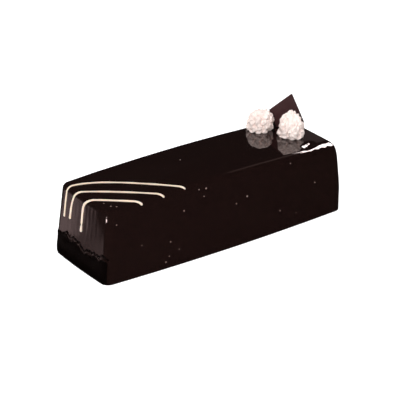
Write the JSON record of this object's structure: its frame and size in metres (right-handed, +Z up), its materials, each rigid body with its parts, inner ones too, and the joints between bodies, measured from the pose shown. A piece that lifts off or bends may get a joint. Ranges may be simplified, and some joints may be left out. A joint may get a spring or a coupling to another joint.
{
  "type": "triple chocolate cake",
  "caption": "Whole loaf-shaped chocolate cake under dark mirror glaze, piped with white chocolate lines, topped with cream rosettes and a chocolate plaque.",
  "frame": {"origin": "on the resting plane, under the middle of the loaf", "axes": "+X along the loaf from the piped end to the rosettes, +Y from the front to the back, +Z up"},
  "size_m": [0.2778, 0.0964, 0.1111],
  "materials": {
    "chocolate_glaze": "poured dark chocolate mirror glaze, near black and glossy",
    "white_chocolate": "piped white chocolate, set satin",
    "whipped_cream": "piped whipped cream, soft and grainy",
    "dark_chocolate": "cast dark chocolate sheet, satin"
  },
  "bodies": {
    "root": {"cake_body": "chocolate_glaze", "cream_rosette_back": "whipped_cream", "cream_rosette_front": "whipped_cream", "chocolate_plaque": "dark_chocolate"}
  },
  "joints": []
}
